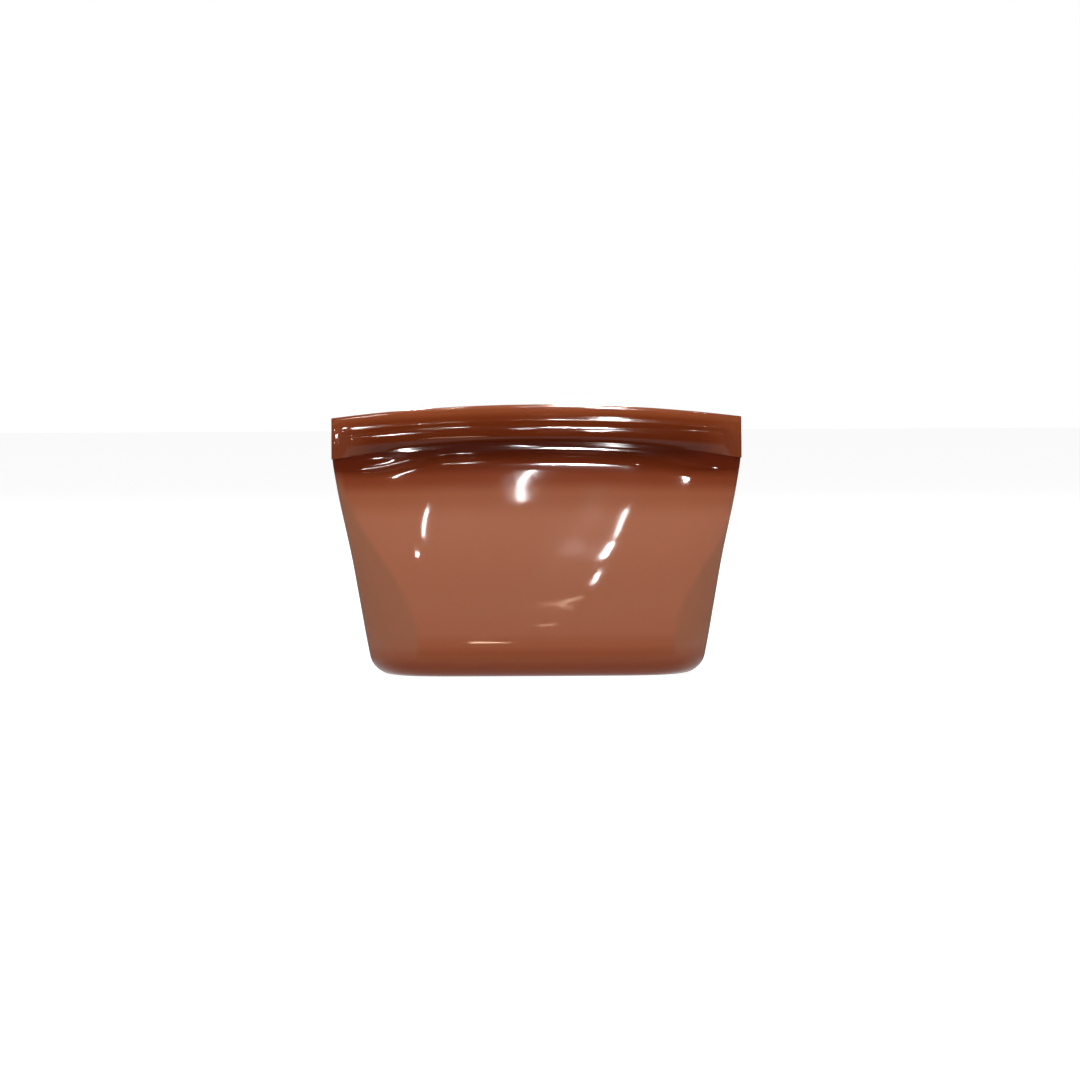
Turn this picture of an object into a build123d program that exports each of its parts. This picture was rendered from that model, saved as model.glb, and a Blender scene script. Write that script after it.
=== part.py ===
"""Stand-up silicone food bag with a press zip along its mouth, closed and standing on its base.

Millimetres, +Z up. The origin is the centre of the underside, X runs along the zip, and the front faces -Y.
The bag is moulded in one piece. It is divided here along the lines where the rubber flexes, so that the mouth
can open: a fixed base with two rounded ends, and a middle panel with two side flaps on each face.
"""

from build123d import *
from math import asin, degrees
import os

# --- driving dimensions -------------------------------------------------------------------------------------------
BAG_WIDTH = 160.0  # over the closed zip
BAG_HEIGHT = 105.0  # at the middle of the lips
WALL = 1.8  # rubber thickness of the walls
FLOOR = 2.0  # rubber thickness of the base

HEEL_TOP = 12.0  # the fold line where the walls hinge on the base
HEEL_RADIUS = 7.0
FLOOR_INSET = 10.0  # from the outside of the base to the flat floor plate

ZIP_FOOT = 90.3  # height of the crease under the zip, at the middle
ZIP_HEIGHT = 9.7  # from the crease to the foot of the lips
CREASE_DROP = 4.1  # how much lower the crease is at the corners
LIP_DROP = 4.2  # how much lower the lips' free edge is at the corners

# Ovals of the outside, from the base to the crease: height, half length, half depth, end radius.
UNDERSIDE = (0.0, 63.6, 21.6, 16.1)
SECTIONS = [
    (HEEL_TOP, 65.9, 22.5, 17.0),
    (30.0, 69.6, 19.6, 13.0),
    (50.0, 73.3, 16.2, 9.5),
    (70.0, 77.2, 12.6, 6.2),
    (82.0, 79.3, 8.9, 3.8),
    (91.0, 80.0, 4.6, 2.1),
]

# The fold lines, seen from the front: each starts at the heel and runs up to the lips.
FOLD_FOOT = 44.0  # X of the point where the two folds of one side meet
FOLD_CORNER = 77.5  # X of the outer fold at the lips
PANEL_TOP = 22.0  # X of the inner fold at the lips
FOLD_TOP = 101.5  # height of the lips near the corner, where the outer fold ends
FLAP_FOOT = 4.0  # the flaps start this far above the heel
HEEL_GAP = 0.3  # between a swinging wall and the heel
FOLD_GAP = 1.2  # between two pieces that fold against each other

# The zip: a rib on the back snaps into a channel on the front.
FACE = 0.15  # each half of the zip stands this far from the middle plane
CHANNEL_DEPTH = 5.5  # the channel's bulge, from the middle plane
STRIP_DEPTH = 3.7  # the back strip's bulge, from the middle plane
FOOT_DEPTH = 4.6  # both halves at the crease, as deep as the walls below
LIP_FOOT = 2.3  # both halves at the foot of the lips
LIP_TIP = 1.7  # the lips at their free edge
SLOT_HEIGHT = 3.2
SLOT_DEPTH = 3.5
SLOT_MIDDLE = 4.8  # above the crease
SNAP_STEP = 0.65  # how far each snap lip narrows the slot
SNAP_DEPTH = 0.8
BEAD_RADIUS = 1.2
BEAD_SETBACK = 2.1  # bead centre, from the middle plane
STEM = 1.3
RIB_GAP = 2.4  # from an inner fold to the end of the middle panel's rib
TAB_DEPTH = 3.2  # the fused corner, from the middle plane

# --- derived values -----------------------------------------------------------------------------------------------
HALF_WIDTH = BAG_WIDTH / 2
CREASE_RADIUS = (HALF_WIDTH**2 + CREASE_DROP**2) / (2 * CREASE_DROP)
LIP_RADIUS = (HALF_WIDTH**2 + LIP_DROP**2) / (2 * LIP_DROP)
SWEEP_CENTRE = (0, 0, ZIP_FOOT - CREASE_RADIUS)
HALF_TURN = degrees(asin(HALF_WIDTH / CREASE_RADIUS))
REACH = 3 * BAG_HEIGHT  # longer than anything in the bag
SIDES = {"left": -1, "right": 1}


def oval(half_length, half_depth, end_radius):
    """An oval face: two shallow side arcs, tangent to two end arcs."""
    reach = half_length - end_radius
    side_radius = (reach**2 + half_depth**2 - end_radius**2) / (2 * (half_depth - end_radius))
    share = end_radius / (side_radius - end_radius)
    x = reach * (1 + share)
    y = (side_radius - half_depth) * share
    with BuildSketch() as face:
        with BuildLine():
            ThreePointArc((-x, y), (0, half_depth), (x, y))
            ThreePointArc((x, y), (half_length, 0), (x, -y))
            ThreePointArc((x, -y), (0, -half_depth), (-x, -y))
            ThreePointArc((-x, -y), (-half_length, 0), (-x, y))
        make_face()
    return face.sketch


def loft_ovals(sections, inset=0.0):
    """A closed loft through ovals, each drawn in by the inset."""
    with BuildPart() as body:
        for height, half_length, half_depth, end_radius in sections:
            with BuildSketch(Plane.XY.offset(height)):
                add(oval(half_length - inset, half_depth - inset, end_radius - inset))
        loft()
    return body.part


def under_arc(height, radius):
    """Everything below an arc across the bag, which is highest at the middle."""
    with BuildPart() as body:
        with BuildSketch(Plane.XZ):
            with BuildLine():
                RadiusArc((-HALF_WIDTH, height), (HALF_WIDTH, height), radius)
                Polyline((-HALF_WIDTH, height), (-HALF_WIDTH, 0), (HALF_WIDTH, 0), (HALF_WIDTH, height))
            make_face()
        extrude(amount=REACH, both=True)
    return body.part


BELOW_CREASE = under_arc(ZIP_FOOT - CREASE_DROP, CREASE_RADIUS)
BELOW_LIPS = under_arc(BAG_HEIGHT - LIP_DROP, LIP_RADIUS)


def fold_x(height, foot, top_x, top_height):
    """X of a fold line at a height."""
    return foot + (top_x - foot) * (height - HEEL_TOP) / (top_height - HEEL_TOP)


def prism(points, depth=REACH):
    """A polygon drawn on the XZ plane, extruded to the front and to the back."""
    with BuildPart() as body:
        with BuildSketch(Plane.XZ):
            with BuildLine():
                Polyline(*points, close=True)
            make_face()
        extrude(amount=depth, both=True)
    return body.part


def outer_fold(height):
    return fold_x(height, FOLD_FOOT, FOLD_CORNER, FOLD_TOP)


def inner_fold(height):
    return fold_x(height, FOLD_FOOT, PANEL_TOP, BAG_HEIGHT)


CEILING = BAG_HEIGHT + 1


def panel_region(gap):
    """The middle panel, up to a gap from each of its inner folds."""
    foot = FOLD_FOOT - gap
    top = inner_fold(CEILING) - gap
    low = HEEL_TOP + HEEL_GAP
    return [(-foot, low), (foot, low), (top, CEILING), (-top, CEILING)]


def flap_region(side):
    """The triangle between the two folds of one side; its foot is cut off where the folds meet."""
    low = HEEL_TOP + FLAP_FOOT
    return [
        (side * inner_fold(low), low),
        (side * outer_fold(low), low),
        (side * outer_fold(CEILING), CEILING),
        (side * inner_fold(CEILING), CEILING),
    ]


def end_region(side):
    """Everything outside the outer fold of one side, down to the heel."""
    return [
        (side * (outer_fold(HEEL_TOP) + FOLD_GAP / 3), HEEL_TOP),
        (side * REACH, HEEL_TOP),
        (side * REACH, CEILING),
        (side * (outer_fold(CEILING) + FOLD_GAP / 3), CEILING),
    ]


# --- base ---------------------------------------------------------------------------------------------------------
def make_floor():
    """The flat plate that the bag stands on."""
    _, half_length, half_depth, end_radius = UNDERSIDE
    with BuildPart() as floor:
        with BuildSketch():
            add(oval(half_length - FLOOR_INSET, half_depth - FLOOR_INSET, end_radius - FLOOR_INSET))
        extrude(amount=FLOOR)
    return floor.part


def make_heel(floor):
    """The rounded rim of the base, from the floor plate up to the fold line."""
    _, half_length, half_depth, end_radius = UNDERSIDE
    inside = (FLOOR, half_length + FLOOR / 5, half_depth + FLOOR / 5, end_radius)
    with BuildPart() as hollow:
        add(loft_ovals([inside, SECTIONS[0]], inset=WALL))
        fillet(hollow.faces().sort_by(Axis.Z)[0].edges(), HEEL_RADIUS - WALL)
    with BuildPart() as heel:
        add(loft_ovals([UNDERSIDE, SECTIONS[0]]))
        fillet(heel.faces().sort_by(Axis.Z)[0].edges(), HEEL_RADIUS)
        add(hollow.part, mode=Mode.SUBTRACT)
        add(floor, mode=Mode.SUBTRACT)
    return heel.part


# --- walls --------------------------------------------------------------------------------------------------------
def make_wall_skin():
    """The whole wall between the heel and the crease, as one hollow skin."""
    with BuildPart() as skin:
        add(loft_ovals(SECTIONS))
        add(loft_ovals(SECTIONS, inset=WALL), mode=Mode.SUBTRACT)
        add(BELOW_CREASE, mode=Mode.INTERSECT)
    return skin.part


def cut_wall(skin, region, face=None):
    """The part of the skin inside a region, on one face of the bag or on both."""
    with BuildPart() as wall:
        add(skin)
        add(prism(region), mode=Mode.INTERSECT)
        if face:
            split(bisect_by=Plane.XZ, keep=face)
    return wall.part


# --- zip ----------------------------------------------------------------------------------------------------------
def sweep_zip(profile):
    """A profile drawn at the middle of the bag, carried along the arc of the crease to both corners."""
    with BuildPart() as body:
        add(profile)
        revolve(axis=Axis(SWEEP_CENTRE, (0, 1, 0)), revolution_arc=HALF_TURN)
        mirror(about=Plane.YZ)
    return body.part


def at_crease(y, height):
    """A point of a zip profile, from its Y and its height over the crease."""
    return (y, ZIP_FOOT + height)


def make_channel():
    """The front half of the zip: a bulge with a slot along its inner face."""
    low = SLOT_MIDDLE - SLOT_HEIGHT / 2
    high = SLOT_MIDDLE + SLOT_HEIGHT / 2
    with BuildSketch(Plane.YZ) as profile:
        with BuildLine():
            ThreePointArc(
                at_crease(-FOOT_DEPTH, 0),
                at_crease(-CHANNEL_DEPTH, SLOT_MIDDLE),
                at_crease(-LIP_FOOT, ZIP_HEIGHT),
            )
            Polyline(
                at_crease(-LIP_FOOT, ZIP_HEIGHT),
                at_crease(-FACE, ZIP_HEIGHT),
                at_crease(-FACE, high),
                at_crease(-SLOT_DEPTH, high),
                at_crease(-SLOT_DEPTH, low),
                at_crease(-FACE, low),
                at_crease(-FACE, 0),
                at_crease(-FOOT_DEPTH, 0),
            )
        make_face()
    return sweep_zip(profile.sketch)


def make_snap_lips():
    """The two soft lips that narrow the slot's mouth and hold the bead behind them."""
    with BuildSketch(Plane.YZ) as profile:
        for side in (-1, 1):
            wall = SLOT_MIDDLE + side * SLOT_HEIGHT / 2
            tip = wall - side * SNAP_STEP
            with BuildLine():
                Polyline(
                    at_crease(-FACE, wall),
                    at_crease(-FACE - SNAP_DEPTH, wall),
                    at_crease(-FACE - SNAP_DEPTH, tip),
                    at_crease(-FACE - SNAP_DEPTH / 4, tip),
                    close=True,
                )
            make_face()
    return sweep_zip(profile.sketch)


def make_strip():
    """The back half of the zip, which carries the rib."""
    with BuildSketch(Plane.YZ) as profile:
        with BuildLine():
            ThreePointArc(
                at_crease(FOOT_DEPTH, 0),
                at_crease(STRIP_DEPTH, SLOT_MIDDLE),
                at_crease(LIP_FOOT, ZIP_HEIGHT),
            )
            Polyline(
                at_crease(LIP_FOOT, ZIP_HEIGHT),
                at_crease(FACE, ZIP_HEIGHT),
                at_crease(FACE, 0),
                at_crease(FOOT_DEPTH, 0),
            )
        make_face()
    return sweep_zip(profile.sketch)


def make_rib():
    """A round bead on a thin stem, standing out from the back strip into the slot."""
    with BuildSketch(Plane.YZ) as profile:
        with Locations(at_crease(-BEAD_SETBACK, SLOT_MIDDLE)):
            Circle(BEAD_RADIUS)
        with Locations(at_crease((FACE - BEAD_SETBACK) / 2, SLOT_MIDDLE)):
            Rectangle(FACE + BEAD_SETBACK, STEM)
    return sweep_zip(profile.sketch)


def make_lip(face):
    """The pull lip above one half of the zip: face is -1 at the front and 1 at the back."""
    with BuildSketch(Plane.YZ) as profile:
        with BuildLine():
            Polyline(
                at_crease(face * FACE, ZIP_HEIGHT),
                at_crease(face * LIP_FOOT, ZIP_HEIGHT),
                at_crease(face * LIP_TIP, CEILING - ZIP_FOOT),
                at_crease(face * FACE, CEILING - ZIP_FOOT),
                close=True,
            )
        make_face()
    with BuildPart() as lip:
        add(sweep_zip(profile.sketch))
        add(BELOW_LIPS, mode=Mode.INTERSECT)
    return lip.part


def cut_zip(body, region):
    """The stretch of a swept zip piece inside a region."""
    with BuildPart() as piece:
        add(body)
        add(prism(region), mode=Mode.INTERSECT)
    return piece.part


def make_corner_tab(side):
    """The corner where both halves of the zip are fused, outside the outer fold."""
    with BuildPart() as tab:
        add(prism(end_region(side), TAB_DEPTH))
        add(BELOW_LIPS, mode=Mode.INTERSECT)
        add(BELOW_CREASE, mode=Mode.SUBTRACT)
    return tab.part


def save(piece, name):
    piece.label = name
    export_step(piece, f"parts/{name}.step")


def main():
    os.makedirs("parts", exist_ok=True)
    floor = make_floor()
    save(floor, "base_floor")
    save(make_heel(floor), "base_heel")

    skin = make_wall_skin()
    front, back = Keep.TOP, Keep.BOTTOM
    zip_pieces = {
        "front_channel": make_channel(),
        "front_snap_lips": make_snap_lips(),
        "front_pull_lip": make_lip(-1),
        "back_strip": make_strip(),
        "back_pull_lip": make_lip(1),
    }

    regions = {"middle": panel_region(FOLD_GAP)}
    for name, side in SIDES.items():
        save(cut_wall(skin, end_region(side)), f"{name}_end_wall")
        save(make_corner_tab(side), f"{name}_corner_tab")
        regions[name] = flap_region(side)
    for place, region in regions.items():
        save(cut_wall(skin, region, front), f"{place}_front_wall")
        save(cut_wall(skin, region, back), f"{place}_back_wall")
        for name, body in zip_pieces.items():
            save(cut_zip(body, region), f"{place}_{name}")

    regions["middle"] = panel_region(RIB_GAP)
    rib = make_rib()
    for place, region in regions.items():
        save(cut_zip(rib, region), f"{place}_back_rib")


main()
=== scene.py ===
import math

import bpy
import numpy as np
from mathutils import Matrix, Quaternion, Vector


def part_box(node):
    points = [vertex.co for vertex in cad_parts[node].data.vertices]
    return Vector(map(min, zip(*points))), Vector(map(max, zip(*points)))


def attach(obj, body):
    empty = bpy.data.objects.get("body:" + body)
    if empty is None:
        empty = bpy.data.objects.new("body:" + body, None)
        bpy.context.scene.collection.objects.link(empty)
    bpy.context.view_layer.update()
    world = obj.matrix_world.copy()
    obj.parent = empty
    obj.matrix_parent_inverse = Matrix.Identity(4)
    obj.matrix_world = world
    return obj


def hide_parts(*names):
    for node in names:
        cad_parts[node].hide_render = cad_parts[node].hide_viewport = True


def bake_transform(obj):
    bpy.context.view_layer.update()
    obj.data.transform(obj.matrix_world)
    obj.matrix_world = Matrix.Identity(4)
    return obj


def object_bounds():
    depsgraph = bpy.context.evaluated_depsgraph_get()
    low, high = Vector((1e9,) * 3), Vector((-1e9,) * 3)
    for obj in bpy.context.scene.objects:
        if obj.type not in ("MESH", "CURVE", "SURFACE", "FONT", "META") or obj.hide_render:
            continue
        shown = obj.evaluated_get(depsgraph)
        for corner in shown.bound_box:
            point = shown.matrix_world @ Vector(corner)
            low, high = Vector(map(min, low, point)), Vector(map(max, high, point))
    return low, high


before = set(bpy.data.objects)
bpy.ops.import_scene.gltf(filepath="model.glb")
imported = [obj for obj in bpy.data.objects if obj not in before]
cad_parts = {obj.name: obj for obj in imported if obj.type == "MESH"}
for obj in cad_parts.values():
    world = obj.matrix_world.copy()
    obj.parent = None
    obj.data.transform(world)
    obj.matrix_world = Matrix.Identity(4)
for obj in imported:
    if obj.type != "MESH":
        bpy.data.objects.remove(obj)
cad_low, cad_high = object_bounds()

# ---------------------------------------------------------------------------------------------------------
# The front and back walls with the rounded heel below them.
# One thin skin of silicone rubber, moulded in a single shot. The mould opens along the two ends, so each
# half is made here on its own and they meet on that parting line.
# ---------------------------------------------------------------------------------------------------------
mm = 0.001
half_width = cad_high.x
heel_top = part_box("base_heel")[1].z
crease_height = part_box("middle_front_wall")[1].z
heel_half_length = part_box("base_heel")[1].x
heel_half_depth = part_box("base_heel")[1].y
wall = 1.8 * mm
heel_radius = 7 * mm
crease_drop = 6.0 * mm
tuck = 0.5 * mm


def sag(x, drop):
    """How far a shallow arc across the whole bag has dropped at x, when it drops that much at the corners."""
    radius = (half_width**2 + drop**2) / (2 * drop)
    return radius - np.sqrt(radius**2 - np.minimum(np.abs(x), half_width) ** 2)


def ease(low, high, value):
    """0 below low, 1 above high, and a smooth step between them."""
    t = np.clip((value - low) / (high - low), 0, 1)
    return t * t * (3 - 2 * t)


def through(*points):
    """A smooth curve through (height, value) pairs that never overshoots them."""
    h, v = np.array(points, float).T
    step = np.diff(h)
    slope = np.diff(v) / step
    bend = np.zeros(len(h))
    bend[0], bend[-1] = slope[0], slope[-1]
    same = slope[:-1] * slope[1:] > 0
    both = np.where(same, slope[:-1] * slope[1:], 0)
    bend[1:-1] = np.where(same, 2 * both / np.where(same, slope[:-1] + slope[1:], 1), 0)

    def at(height):
        height = np.clip(height, h[0], h[-1])
        i = np.clip(np.searchsorted(h, height) - 1, 0, len(h) - 2)
        t = (height - h[i]) / step[i]
        a = (1 + 2 * t) * (1 - t) ** 2 * v[i] + t * (1 - t) ** 2 * step[i] * bend[i]
        b = t * t * (3 - 2 * t) * v[i + 1] + t * t * (t - 1) * step[i] * bend[i + 1]
        return a + b

    return at


half_length_at = through(
    (0, heel_half_length - 1.8 * mm),
    (heel_top, heel_half_length + 0.6 * mm),
    (28 * mm, 69.3 * mm),
    (44 * mm, 72.1 * mm),
    (75 * mm, 78.4 * mm),
    (85 * mm, 79.8 * mm),
    (crease_height + tuck, half_width),
)
half_depth_at = through(
    (0, heel_half_depth - 0.7 * mm),
    (heel_top, heel_half_depth),
    (28 * mm, 20.8 * mm),
    (46 * mm, 18.2 * mm),
    (60 * mm, 15.5 * mm),
    (70 * mm, 13.3 * mm),
    (81.5 * mm, 10.5 * mm),
    (83.3 * mm, 9.8 * mm),
    (85.1 * mm, 7.8 * mm),
    (86.6 * mm, 5.7 * mm),
    (87.7 * mm, 5.2 * mm),
    (88.9 * mm, 4.85 * mm),
    (crease_height + tuck, 4.5 * mm),
)
end_radius_at = through(
    (0, 16.1 * mm),
    (heel_top, 17 * mm),
    (30 * mm, 13 * mm),
    (50 * mm, 9.5 * mm),
    (70 * mm, 6.2 * mm),
    (82 * mm, 3.8 * mm),
    (crease_height + tuck, 2.2 * mm),
)


def half_oval(across, half_length, half_depth, end_radius):
    """Points round one half of a section: a nearly flat middle that turns into a round arc at each end."""
    share, flatness, side_share = 0.12, 9, 0.82
    steepness = 2 * share + flatness * (1 - share)
    meet = np.full(np.broadcast(half_length, half_depth).shape, 0.3)
    for _ in range(12):
        meet_x = half_length - end_radius * (1 - np.sin(meet))
        meet_y = end_radius * np.cos(meet)
        meet = np.arctan((half_depth - meet_y) * steepness / meet_x)
    side = np.clip(across / side_share, -1, 1)
    angle = meet + (math.pi / 2 - meet) * (np.abs(across) - side_share) / (1 - side_share)
    on_side = np.abs(across) <= side_share
    crown = share * side**2 + (1 - share) * np.abs(side) ** flatness
    round_the_end = meet_x + end_radius * (np.sin(angle) - np.sin(meet))
    x = np.where(on_side, meet_x * side, np.sign(across) * round_the_end)
    y = np.where(on_side, half_depth - (half_depth - meet_y) * crown, end_radius * np.cos(angle))
    return x, y


def ridge(x, z, start, end, width, height):
    """A long soft ridge pressed into the wall between two points, seen from the front."""
    a, b = np.array(start) * mm, np.array(end) * mm
    along = b - a
    t = np.clip(((x - a[0]) * along[0] + (z - a[1]) * along[1]) / (along @ along), 0, 1)
    away = np.hypot(x - a[0] - t * along[0], z - a[1] - t * along[1])
    return height * mm * np.exp(-((away / (width * mm)) ** 2))


def front_ease(x, z):
    """How the relaxed front wall stands off its moulded shape."""
    return ridge(x, z, (41, 69), (22, 33), 9, 0.22) + ridge(x, z, (-44.5, 67), (-46.5, 47), 8, 0.22)


def back_ease(x, z):
    """The same for the back wall, which also has one long shallow hollow."""
    return ridge(x, z, (40, 60), (36, 36), 9, 0.5) - ridge(x, z, (6, 78), (0, 45), 10, 0.5)


def close_skin(name, outer, inner):
    """A closed mesh from an outer and an inner grid of points, joined round their four edges."""
    rows, columns, _ = outer.shape
    index = np.arange(rows * columns).reshape(rows, columns)
    quads = np.stack([index[:-1, :-1], index[:-1, 1:], index[1:, 1:], index[1:, :-1]], -1).reshape(-1, 4)
    rim = np.concatenate([index[0, :], index[1:, -1], index[-1, -2::-1], index[-2:0:-1, 0]])
    ahead = np.roll(rim, -1)
    shift = rows * columns
    sides = np.stack([rim, rim + shift, ahead + shift, ahead], -1)
    faces = np.concatenate([quads, quads[:, ::-1] + shift, sides])
    points = np.concatenate([outer.reshape(-1, 3), inner.reshape(-1, 3)])
    return new_piece(name, points, faces)


def new_piece(name, points, faces):
    """A smooth-shaded mesh whose points also remember where they are in the closed bag."""
    mesh = bpy.data.meshes.new(name)
    mesh.from_pydata(points.tolist(), [], [list(map(int, f)) for f in faces])
    mesh.update()
    piece = bpy.data.objects.new(name, mesh)
    bpy.context.scene.collection.objects.link(piece)
    rest = mesh.attributes.new("moulded_place", "FLOAT_VECTOR", "POINT")
    rest.data.foreach_set("vector", points.astype(np.float32).ravel())
    mesh.polygons.foreach_set("use_smooth", np.ones(len(mesh.polygons), bool))
    mesh.set_sharp_from_angle(angle=math.radians(50))
    return piece


def skin_grid(face, columns, relaxed):
    """The outer surface of one half, from the floor plate round the heel and up to the crease."""
    heel_steps = 12
    turn = np.linspace(0, math.pi / 2, heel_steps)
    height = np.concatenate([
        heel_radius * (1 - np.cos(turn)),
        np.linspace(heel_radius, 74 * mm, 42)[1:],
        np.linspace(74 * mm, crease_height + tuck, 44)[1:],
    ])
    inset = np.concatenate([heel_radius * (1 - np.sin(turn)), np.zeros(len(height) - heel_steps)])
    across = np.linspace(-1, 1, columns)[None, :]
    row_height = height[:, None]
    row_inset = inset[:, None]
    lift = np.zeros((len(height), columns))
    dip = np.zeros((len(height), columns))
    for _ in range(4):
        x, y = half_oval(
            across,
            half_length_at(row_height + lift) - row_inset,
            half_depth_at(row_height + dip) - row_inset,
            end_radius_at(row_height) - row_inset,
        )
        share = np.clip((row_height - heel_top) / (crease_height - heel_top), 0, None)
        lift = -share * sag(x, crease_drop)
        by_the_crease = ease(58 * mm, 78 * mm, row_height) * (1 - ease(84 * mm, 89 * mm, row_height))
        dip = 3 * mm * ease(36 * mm, 66 * mm, np.abs(x)) * by_the_crease
    z = row_height + lift
    grid = np.stack([x, face * y, z], -1)
    away = normals_of(grid, face)
    fade = ease(heel_top, 30 * mm, z) * (1 - ease(80 * mm, 86 * mm, row_height + 0 * z))
    grid += away * (relaxed(x, z) * fade * (1 - ease(0.9, 1.0, np.abs(across))))[..., None]
    return grid


def normals_of(grid, face):
    """Outward directions over a grid whose rows run up and whose columns run from left to right."""
    up = np.gradient(grid, axis=0)
    right = np.gradient(grid, axis=1)
    out = np.cross(right, up) * -face
    out[:, [0, -1], 1] = 0
    return out / np.linalg.norm(out, axis=-1, keepdims=True)


def make_half(name, face, relaxed):
    """One half of the bag: its outer surface, and an inner one a wall's thickness behind it."""
    outer = skin_grid(face, 181, relaxed)
    inner = outer - normals_of(outer, face) * wall
    if face > 0:
        outer, inner = outer[:, ::-1], inner[:, ::-1]
    return close_skin(name, outer, inner)


def hinge_on(piece):
    """Bakes the piece's placement into its mesh."""
    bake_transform(piece)


front_wall = make_half("front_wall", -1, front_ease)
back_wall = make_half("back_wall", 1, back_ease)


def silicone(name, build_colour, roughness):
    """Glossy moulded silicone: a tinted, slightly milky body under a skin with a faint orange peel."""
    material = bpy.data.materials.new(name)
    material.use_nodes = True
    nodes, links = material.node_tree.nodes, material.node_tree.links
    shader = nodes["Principled BSDF"]
    shader.inputs["Roughness"].default_value = roughness
    shader.inputs["IOR"].default_value = 1.37
    shader.inputs["Subsurface Weight"].default_value = 0.12
    shader.inputs["Subsurface Radius"].default_value = (1.0, 0.35, 0.2)
    shader.inputs["Subsurface Scale"].default_value = 3 * mm
    place = nodes.new("ShaderNodeAttribute")
    place.attribute_name = "moulded_place"
    split = nodes.new("ShaderNodeSeparateXYZ")
    links.new(place.outputs["Vector"], split.inputs[0])
    links.new(build_colour(nodes, links, split), shader.inputs["Base Color"])
    peel = nodes.new("ShaderNodeTexNoise")
    peel.inputs["Scale"].default_value = 180
    peel.inputs["Detail"].default_value = 2
    links.new(place.outputs["Vector"], peel.inputs["Vector"])
    bump = nodes.new("ShaderNodeBump")
    bump.inputs["Strength"].default_value = 0.006
    bump.inputs["Distance"].default_value = 1 * mm
    links.new(peel.outputs["Fac"], bump.inputs["Height"])
    links.new(bump.outputs["Normal"], shader.inputs["Normal"])
    return material


def maths(nodes, links, operation, *values):
    """One sum on numbers or sockets."""
    node = nodes.new("ShaderNodeMath")
    node.operation = operation
    for socket, value in zip(node.inputs, values):
        if isinstance(value, (int, float)):
            socket.default_value = value
        else:
            links.new(value, socket)
    return node.outputs[0]


def fade(nodes, links, value, start, end, low=0.0, high=1.0):
    """A smooth step of a value between two others, each a number or a socket."""
    node = nodes.new("ShaderNodeMapRange")
    node.interpolation_type = "SMOOTHSTEP"
    given = {"Value": value, "From Min": start, "From Max": end, "To Min": low, "To Max": high}
    for socket, number in given.items():
        if isinstance(number, (int, float)):
            node.inputs[socket].default_value = number
        else:
            links.new(number, node.inputs[socket])
    return node.outputs[0]


def blended(nodes, links, share, first, second):
    """One colour turning into another by a share; colours are linear RGB or sockets."""
    node = nodes.new("ShaderNodeMix")
    node.data_type = "RGBA"
    links.new(share, node.inputs["Factor"])
    for socket, colour in ((node.inputs[6], first), (node.inputs[7], second)):
        if isinstance(colour, tuple):
            socket.default_value = (*colour, 1)
        else:
            links.new(colour, socket)
    return node.outputs[2]


def height_ramp(nodes, links, level, stops):
    """A colour that changes with height; each stop is a height in millimetres and a linear colour."""
    lowest, highest = stops[0][0], stops[-1][0]
    ramp = nodes.new("ShaderNodeValToRGB")
    elements = ramp.color_ramp.elements
    while len(elements) < len(stops):
        elements.new(1.0)
    for element, (height, colour) in zip(elements, stops):
        element.position = (height - lowest) / (highest - lowest)
        element.color = (*colour, 1)
    ramp.color_ramp.interpolation = "EASE"
    share = nodes.new("ShaderNodeMapRange")
    share.inputs["From Min"].default_value = lowest * mm
    share.inputs["From Max"].default_value = highest * mm
    links.new(level, share.inputs["Value"])
    links.new(share.outputs[0], ramp.inputs[0])
    return ramp.outputs[0]


def wall_colour(nodes, links, split):
    """Darker by the zip, partly for the thicker rubber and partly as painted shade; paler on the thin body,
    partly for its thinness and partly as painted light through it from behind; painted shade at the heel;
    painted light and shade at the ends.
    """
    x = maths(nodes, links, "ABSOLUTE", split.outputs[0])
    z = split.outputs[2]
    ends_drop = maths(nodes, links, "MULTIPLY", maths(nodes, links, "POWER", x, 2.0), 0.5)
    near_zip = fade(nodes, links, z, 60 * mm, 85 * mm)
    level = maths(nodes, links, "MULTIPLY_ADD", ends_drop, near_zip, z)
    # Painted light and shade in this ramp: the heel is darkened as painted shade, the colour under the zip is
    # darker partly for the thicker rubber and partly as painted shade on the shoulder, and the thin body is
    # paler partly for its thinness and partly as painted light shining through from behind.
    body = height_ramp(nodes, links, level, (
        (0, (0.13, 0.020, 0.003)),
        (4, (0.14, 0.027, 0.006)),
        (9, (0.19, 0.050, 0.020)),
        (13, (0.23, 0.069, 0.033)),
        (18, (0.258, 0.086, 0.046)),
        (30, (0.265, 0.092, 0.050)),
        (60, (0.29, 0.103, 0.056)),
        (70, (0.24, 0.074, 0.035)),
        (77, (0.165, 0.034, 0.012)),
        (82, (0.100, 0.016, 0.004)),
        (88, (0.045, 0.006, 0.002)),
    ))
    # Painted light and shade: the ends take a duller tone where light passes through the thin rubber and the
    # fold behind it shows through.
    off_centre = maths(nodes, links, "ABSOLUTE", maths(nodes, links, "ADD", split.outputs[0], -3.5 * mm))
    ends_start = fade(nodes, links, z, 14 * mm, 80 * mm, 48 * mm, 78 * mm)
    past_start = maths(nodes, links, "SUBTRACT", off_centre, ends_start)
    ends = fade(nodes, links, past_start, 0.0, 3 * mm, 0.0, 0.75)
    below_band = fade(nodes, links, z, 82 * mm, 70 * mm)
    above_heel = fade(nodes, links, z, 6 * mm, 14 * mm)
    ends = maths(nodes, links, "MULTIPLY", ends, maths(nodes, links, "MULTIPLY", below_band, above_heel))
    body = blended(nodes, links, ends, body, (0.215, 0.086, 0.048))
    thick = fade(nodes, links, z, 78.6 * mm, 79.4 * mm)
    at_corner = fade(nodes, links, x, 55 * mm, 70 * mm, 0.0, 0.75)
    thick_corner = maths(nodes, links, "MULTIPLY", thick, at_corner)
    return blended(nodes, links, thick_corner, body, (0.075, 0.010, 0.003))


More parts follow.
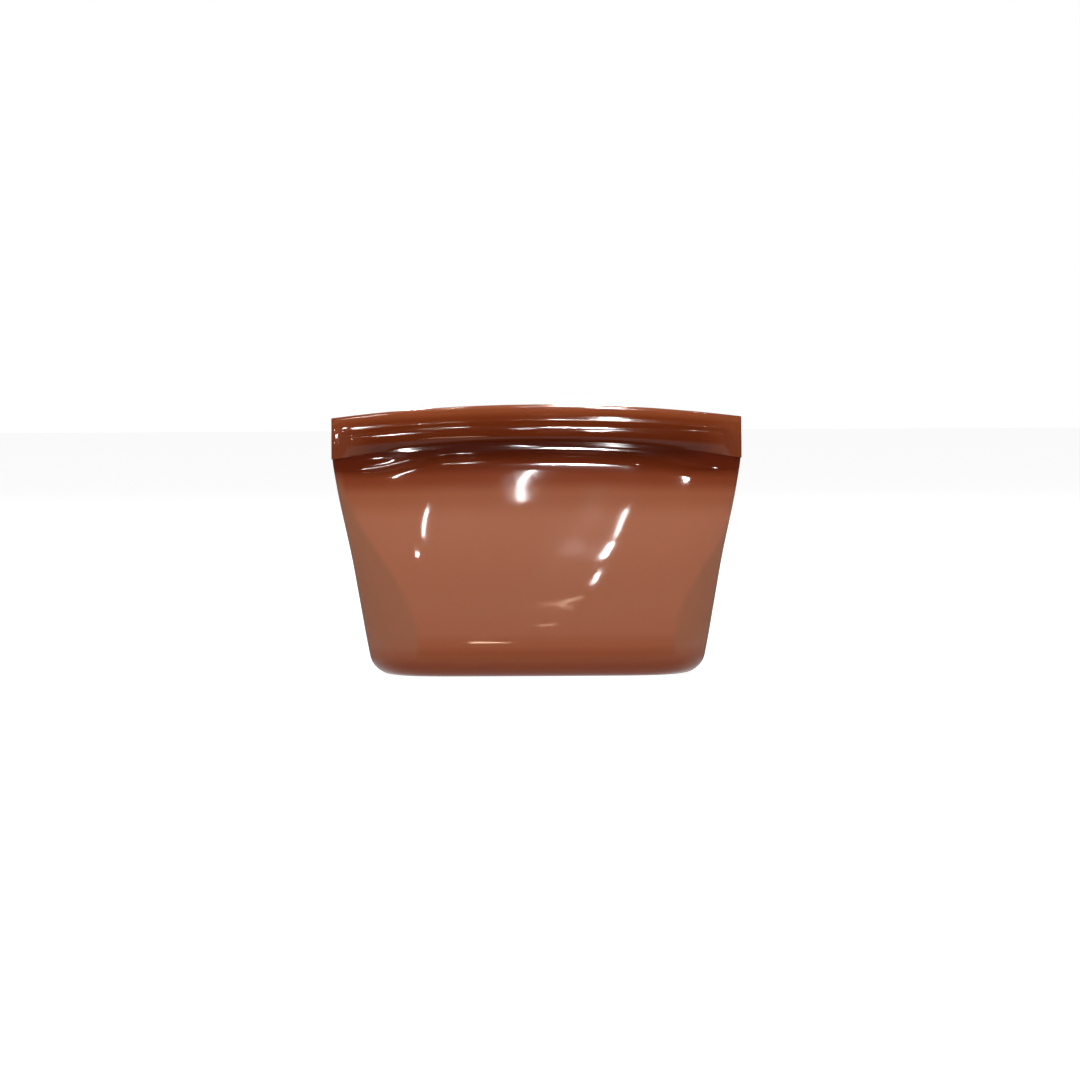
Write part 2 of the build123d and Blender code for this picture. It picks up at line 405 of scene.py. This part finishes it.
wall_silicone = silicone("wall_silicone", wall_colour, 0.055)
for piece, panel, face in ((front_wall, "front_panel", "front"), (back_wall, "back_panel", "back")):
    piece.data.materials.append(wall_silicone)
    hinge_on(piece)
    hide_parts(*[f"{place}_{face}_wall" for place in ("left", "middle", "right")])
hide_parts("left_end_wall", "right_end_wall", "base_heel")

# ---------------------------------------------------------------------------------------------------------
# The zip bands, front and back, each with its pull lip above.
# Thick solid runs of the same rubber, moulded with the walls. The front one bulges round a slot, the back
# one is flatter, and at the corners both run out into a flat tab where they are fused together.
# ---------------------------------------------------------------------------------------------------------
face_gap = 0.15 * mm
lip_drop = 5.0 * mm
bulge_drop = 3.9 * mm
corner_round = 1.3 * mm
bulge_height = 2.4 * mm
slot_low, slot_high, slot_depth = 3.2 * mm, 6.4 * mm, 3.5 * mm
tab_start, tab_end = 72 * mm, 77 * mm
tab_depth, tab_taper, tab_top = 3.1 * mm, 1.15 * mm, 12.5 * mm
tab_gap = 0.01 * mm
middle_bow = 0.8 * mm


def sweep_profile(name, outline, columns=241, trim=0.0):
    """Carries a closed outline of depths and heights from one corner of the bag to the other."""
    x = np.sin(np.linspace(-1, 1, columns) * 1.45) / math.sin(1.45) * (half_width - trim)
    rings = np.array([outline(along) for along in x])
    count = rings.shape[1]
    points = np.concatenate([np.repeat(x[:, None], count, 1)[..., None], rings], -1)
    index = np.arange(columns * count).reshape(columns, count)
    after = np.roll(index, -1, 1)
    quads = np.stack([index[:-1], index[1:], after[1:], after[:-1]], -1).reshape(-1, 4)
    faces = [list(q) for q in quads] + [list(index[0]), list(index[-1][::-1])]
    return new_piece(name, points.reshape(-1, 3), faces)


def smooth_line(points, steps=6):
    """A Catmull-Rom line through points, straightened at its two ends."""
    p = np.array(points, float)
    p = np.concatenate([[2 * p[0] - p[1]], p, [2 * p[-1] - p[-2]]])
    t = np.linspace(0, 1, steps, endpoint=False)[:, None]
    runs = [
        0.5 * (2 * b + (c - a) * t + (2 * a - 5 * b + 4 * c - d) * t**2 + (3 * b - a - 3 * c + d) * t**3)
        for a, b, c, d in zip(p, p[1:], p[2:], p[3:])
    ]
    return np.concatenate([*runs, p[-2:-1]])


def band_outline(face, foot, bulge, neck, lip):
    """The band's outline at a place along the bag: up the outside from the crease, then down the inside."""
    lip_height = cad_high.z - crease_height
    widest = bulge_height / mm
    outside = smooth_line([
        (foot - 0.5, -0.4),
        (foot + 0.1, 0.25),
        (bulge - 0.35, 0.5 * widest),
        (bulge, widest),
        (bulge - 0.05, 4.4),
        (bulge - 0.3, 6.2),
        (bulge - 0.65, 7.1),
        (0.5 * (bulge + neck), 7.8),
        (neck + 0.35, 8.5),
        (neck + 0.1, 9.3),
        (neck - 0.05, 10.6),
        (0.5 * (neck + lip), 12.2),
        (lip, 13.8),
        (lip - 0.35, 14.5),
        (lip - 0.9, 14.68),
    ]) * mm
    inside = np.array([(0.5, 14.6), (0.15, 14.2), (0.15, 9.8)]) * mm
    slot = np.array([
        (face_gap, slot_high),
        (slot_depth, slot_high),
        (slot_depth, slot_low),
        (face_gap, slot_low),
    ])
    end = np.array([(face_gap, -0.2 * mm)])
    outline = np.concatenate([outside, inside, slot if face < 0 else slot[[0, 3]], end])

    def at(x):
        out = ease(tab_start, tab_end, abs(x))
        depth, height = outline[:, 0].copy(), outline[:, 1].copy()
        bow = middle_bow * (1 - (x / half_width) ** 2) * ease(foot * mm, bulge * mm, depth)
        depth[:len(outside)] += bow[:len(outside)]
        flat = depth.copy()
        below_lip = height < tab_top
        below_lip[len(outside):] = False
        flat[below_lip] = (tab_depth - tab_taper * ease(1 * mm, tab_top, height))[below_lip]
        flat[len(outside):] = tab_gap
        depth = depth + (flat - depth) * out
        crease = crease_height - sag(x, crease_drop)
        widest_at = crease_height + bulge_height - sag(x, bulge_drop)
        top = cad_high.z - sag(x, lip_drop)
        moulded = [-1 * mm, 0, bulge_height, lip_height]
        z = np.interp(height, moulded, [crease - 1 * mm, crease, widest_at, top])
        round_end = np.clip((abs(x) - half_width + corner_round) / corner_round, 0, 1)
        depth = np.maximum(depth - corner_round * (1 - math.sqrt(1 - round_end**2)), tab_gap)
        return np.stack([face * depth, z], -1)

    return at


front_band = sweep_profile("front_zip_band", band_outline(-1, 4.3, 5.3, 2.2, 1.95))
back_band = sweep_profile("back_zip_band", band_outline(1, 4.0, 4.1, 2.2, 1.95))


def band_colour(nodes, links, split):
    """The thick band is the darkest part; its thin lip is a brighter rust, partly for its thinness and partly
    as painted light shining through it from behind.
    """
    x = maths(nodes, links, "ABSOLUTE", split.outputs[0])
    level = maths(nodes, links, "MULTIPLY_ADD", maths(nodes, links, "POWER", x, 2.0), 0.55, split.outputs[2])
    # Painted light: the brighter top of the lip stands in partly for light shining through the thin rubber
    # from behind.
    band = height_ramp(nodes, links, level, (
        (90, (0.070, 0.011, 0.003)),
        (95, (0.090, 0.014, 0.003)),
        (100, (0.140, 0.025, 0.006)),
        (103, (0.210, 0.050, 0.017)),
        (105, (0.300, 0.095, 0.045)),
    ))
    corner = fade(nodes, links, x, 60 * mm, 79 * mm, 0.0, 0.5)
    return blended(nodes, links, corner, band, (0.19, 0.046, 0.018))


band_silicone = silicone("band_silicone", band_colour, 0.05)
for piece, panel, parts in (
    (front_band, "front_panel", ("front_channel", "front_pull_lip")),
    (back_band, "back_panel", ("back_strip", "back_pull_lip")),
):
    piece.data.materials.append(band_silicone)
    hinge_on(piece)
    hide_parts(*[f"{place}_{part}" for place in ("left", "middle", "right") for part in parts])
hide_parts("left_corner_tab", "right_corner_tab")

# ---------------------------------------------------------------------------------------------------------
# The press seal inside the band: a bead on a stem at the back, and two soft lips at the mouth of the slot.
# Moulded with the bands. The lips bend to let the bead past and then hold it.
# ---------------------------------------------------------------------------------------------------------
seal_trim = 5 * mm
bead_radius, bead_setback, stem = 1.2 * mm, 2.1 * mm, 1.3 * mm
slot_middle = (slot_low + slot_high) / 2


def fixed_outline(outline):
    """An outline that stays the same all the way, and only follows the band's drop towards the corners."""

    def at(x):
        return np.stack([outline[:, 0], outline[:, 1] + crease_height - sag(x, bulge_drop)], -1)

    return at


half_stem = math.asin(stem / 2 / bead_radius)
bead_turn = np.linspace(half_stem, 2 * math.pi - half_stem, 21)
bead = np.stack([
    -bead_setback + bead_radius * np.cos(bead_turn),
    slot_middle + bead_radius * np.sin(bead_turn),
], -1)
stem_root = np.array([(0.4 * mm, slot_middle - stem / 2), (0.4 * mm, slot_middle + stem / 2)])
rib = sweep_profile("rib", fixed_outline(np.concatenate([bead, stem_root])), trim=seal_trim)
rib.data.materials.append(band_silicone)
hinge_on(rib)
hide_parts("left_back_rib", "middle_back_rib", "right_back_rib")

for name, root, way in (("upper_snap_lip", slot_high, -1), ("lower_snap_lip", slot_low, 1)):
    tip = root + way * 0.65 * mm
    profile = np.array([
        (-0.15 * mm, root),
        (-0.95 * mm, root),
        (-0.95 * mm, tip - way * 0.2 * mm),
        (-0.75 * mm, tip),
        (-0.45 * mm, tip),
    ])
    snap_lip = sweep_profile(name, fixed_outline(profile[::way]), trim=seal_trim)
    snap_lip.data.materials.append(band_silicone)
    hinge_on(snap_lip)
    if way < 0:
        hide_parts("left_front_snap_lips", "middle_front_snap_lips", "right_front_snap_lips")

# ---------------------------------------------------------------------------------------------------------
# The floor plate between the two halves of the heel.
# A flat panel of the same rubber, moulded with them. Its middle is slightly raised, so that its rim takes the
# weight of the bag.
# ---------------------------------------------------------------------------------------------------------
floor_thickness = 2 * mm
rim_x, rim_y = half_oval(
    np.linspace(-1, 1, 181),
    half_length_at(np.array(0.0)) - heel_radius,
    half_depth_at(np.array(0.0)) - heel_radius,
    end_radius_at(np.array(0.0)) - heel_radius,
)
rim_loop = np.concatenate([np.stack([rim_x, -rim_y], -1), np.stack([rim_x, rim_y], -1)[-2:0:-1]])
rings = [1.0, 0.97, 0.9, 0.75, 0.55, 0.3, 0.12]
rise = 0.25 * mm


def floor_side(height, dome):
    """Rings of points from the rim inwards, then one in the middle."""
    layers = []
    for ring in rings:
        level = np.full(len(rim_loop), height + dome * ease(1.0, 0.8, ring))
        layers.append(np.column_stack([rim_loop * ring, level]))
    return np.concatenate([*layers, [(0, 0, height + dome)]])


loop = len(rim_loop)
under = floor_side(0.0, rise)
over = floor_side(floor_thickness, rise)


def floor_faces(first, flip):
    faces = []
    for ring in range(len(rings) - 1):
        for i in range(loop):
            j = (i + 1) % loop
            a, b = first + ring * loop, first + (ring + 1) * loop
            faces.append([a + i, a + j, b + j, b + i])
    last = first + (len(rings) - 1) * loop
    faces += [[last + i, last + (i + 1) % loop, first + len(rings) * loop] for i in range(loop)]
    return [f[::-1] for f in faces] if flip else faces


def rim_faces():
    return [[i, i + len(under), (i + 1) % loop + len(under), (i + 1) % loop] for i in range(loop)]


base_floor = new_piece(
    "base_floor",
    np.concatenate([under, over]),
    floor_faces(0, True) + floor_faces(len(under), False) + [f[::-1] for f in rim_faces()],
)
base_floor.data.materials.append(wall_silicone)
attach(base_floor, "base")
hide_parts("base_floor")

# ---------------------------------------------------------------------------------------------------------
# The table top, the lights and the camera.
# A white card table that shows in no reflection. Small lamps give the glints in the glossy rubber, and large
# soft panels, which show in no reflection either, light it evenly all round.
# ---------------------------------------------------------------------------------------------------------
table = bpy.data.meshes.new("table_top")
reach = 6.0
corners = [(-reach, -reach, 0), (reach, -reach, 0), (reach, reach, 0), (-reach, reach, 0)]
table.from_pydata(corners, [], [(0, 1, 2, 3)])
table_top = bpy.data.objects.new("table_top", table)
bpy.context.scene.collection.objects.link(table_top)
table_paint = bpy.data.materials.new("white_card")
table_paint.use_nodes = True
card = table_paint.node_tree.nodes["Principled BSDF"]
card.inputs["Base Color"].default_value = (0.3, 0.3, 0.3, 1)
card.inputs["Roughness"].default_value = 0.9
card.inputs["Emission Color"].default_value = (1, 1, 1, 1)
card.inputs["Emission Strength"].default_value = 0.93
table.materials.append(table_paint)
table_top.visible_glossy = False

centre = (cad_low + cad_high) / 2


def soft_light(name, azimuth, elevation, distance, width, height, power, colour=(1, 1, 1), turn=0.0):
    """An area light that faces the bag. Azimuth 0 is straight in front; elevation is above the horizon."""
    light = bpy.data.lights.new(name, "AREA")
    light.shape, light.size, light.size_y = "RECTANGLE", width, height
    light.energy, light.color = power, colour
    lamp = bpy.data.objects.new(name, light)
    a, e = math.radians(azimuth), math.radians(elevation)
    towards = Vector((math.sin(a) * math.cos(e), -math.cos(a) * math.cos(e), math.sin(e)))
    lamp.location = centre + towards * distance
    lamp.rotation_mode = "QUATERNION"
    lamp.rotation_quaternion = towards.to_track_quat("Z", "Y") @ Quaternion((0, 0, 1), math.radians(turn))
    bpy.context.scene.collection.objects.link(lamp)
    return lamp


for name, azimuth, elevation, width, height, power, turn in (
    ("right_strip", 3.0, 35, 0.095, 0.06, 16, 0),
    ("band_right", 18.5, 56, 0.015, 0.05, 0.8, 0),
    ("band_left", -10, 58, 0.03, 0.05, 1.8, 0),
    ("band_corner", -13.5, 58, 0.012, 0.05, 0.7, 0),
    ("left_shoulder", -21.5, 36, 0.025, 0.34, 4.0, 0),
    ("right_corner", 23.5, 27.8, 0.045, 0.09, 2.0, 0),
    ("middle_drop", -0.8, 26.5, 0.005, 0.15, 0.55, -7),
    ("right_high", 4.4, 21.5, 0.022, 0.09, 0.4, -8),
    ("right_middle", 3.4, 17.4, 0.026, 0.08, 1.3, -13),
    ("right_low", 3.0, 12.8, 0.02, 0.03, 0.36, 0),
    ("left_high", -8.3, 20.7, 0.02, 0.11, 1.3, -12),
    ("left_low", -12.9, 14.6, 0.055, 0.03, 0.95, 0),
    ("back_strip", 177, 28, 0.1, 0.06, 10, 0),
    ("back_low", 186, 21, 0.02, 0.09, 1.2, 12),
):
    glint = soft_light(name, azimuth, elevation, 1.5, width, height, power, turn=turn)
    glint.visible_diffuse = False
soft_light("low_lamp", 0.6, 8.7, 1.5, 0.02, 0.006, 0.015, (1.0, 0.72, 0.5))
soft_light("heel_lamp", -3.6, -2.0, 1.5, 0.06, 0.012, 0.2, (1.0, 0.72, 0.5))
for name, azimuth, elevation, power in (
    ("fill_front", 0, 35, 15),
    ("fill_left", -70, 40, 4.5),
    ("fill_right", 70, 40, 4.5),
    ("fill_back", 180, 45, 12),
):
    panel_light = soft_light(name, azimuth, elevation, 1.4, 0.9, 0.9, power)
    panel_light.visible_glossy = False

world = bpy.data.worlds.new("studio")
bpy.context.scene.world = world
world.use_nodes = True
sky, sky_links = world.node_tree.nodes, world.node_tree.links
direction = sky.new("ShaderNodeTexCoord")
parts = sky.new("ShaderNodeSeparateXYZ")
sky_links.new(direction.outputs["Generated"], parts.inputs[0])
behind = fade(sky, sky_links, parts.outputs[1], -0.75, 0.1)
low = fade(sky, sky_links, parts.outputs[2], 0.75, 0.25)
bright = maths(sky, sky_links, "MULTIPLY", behind, low)
from_below = fade(sky, sky_links, parts.outputs[2], -0.12, -0.4, 0.03, 0.7)
lit = maths(sky, sky_links, "MULTIPLY_ADD", bright, 0.12, from_below)
seen = sky.new("ShaderNodeLightPath").outputs["Is Camera Ray"]
sky["Background"].inputs["Color"].default_value = (1, 1, 1, 1)
sky_links.new(maths(sky, sky_links, "MAXIMUM", lit, seen), sky["Background"].inputs["Strength"])

lens = 100.0
sensor = 36.0
frame_width = 422.5 * mm
camera_data = bpy.data.cameras.new("camera")
camera_data.lens, camera_data.sensor_width = lens, sensor
camera_data.clip_start, camera_data.clip_end = 0.01, 20
camera = bpy.data.objects.new("camera", camera_data)
bpy.context.scene.collection.objects.link(camera)
camera_height = math.radians(3.0)
aim = Vector((1.2 * mm, 0, 52 * mm))
to_camera = Vector((0, -math.cos(camera_height), math.sin(camera_height)))
camera.location = aim + to_camera * (frame_width * lens / sensor)
camera.rotation_mode = "QUATERNION"
roll = Quaternion((0, 0, 1), math.radians(-0.3))
camera.rotation_quaternion = to_camera.to_track_quat("Z", "Y") @ roll
bpy.context.scene.camera = camera
bpy.context.scene.view_settings.view_transform = "Standard"
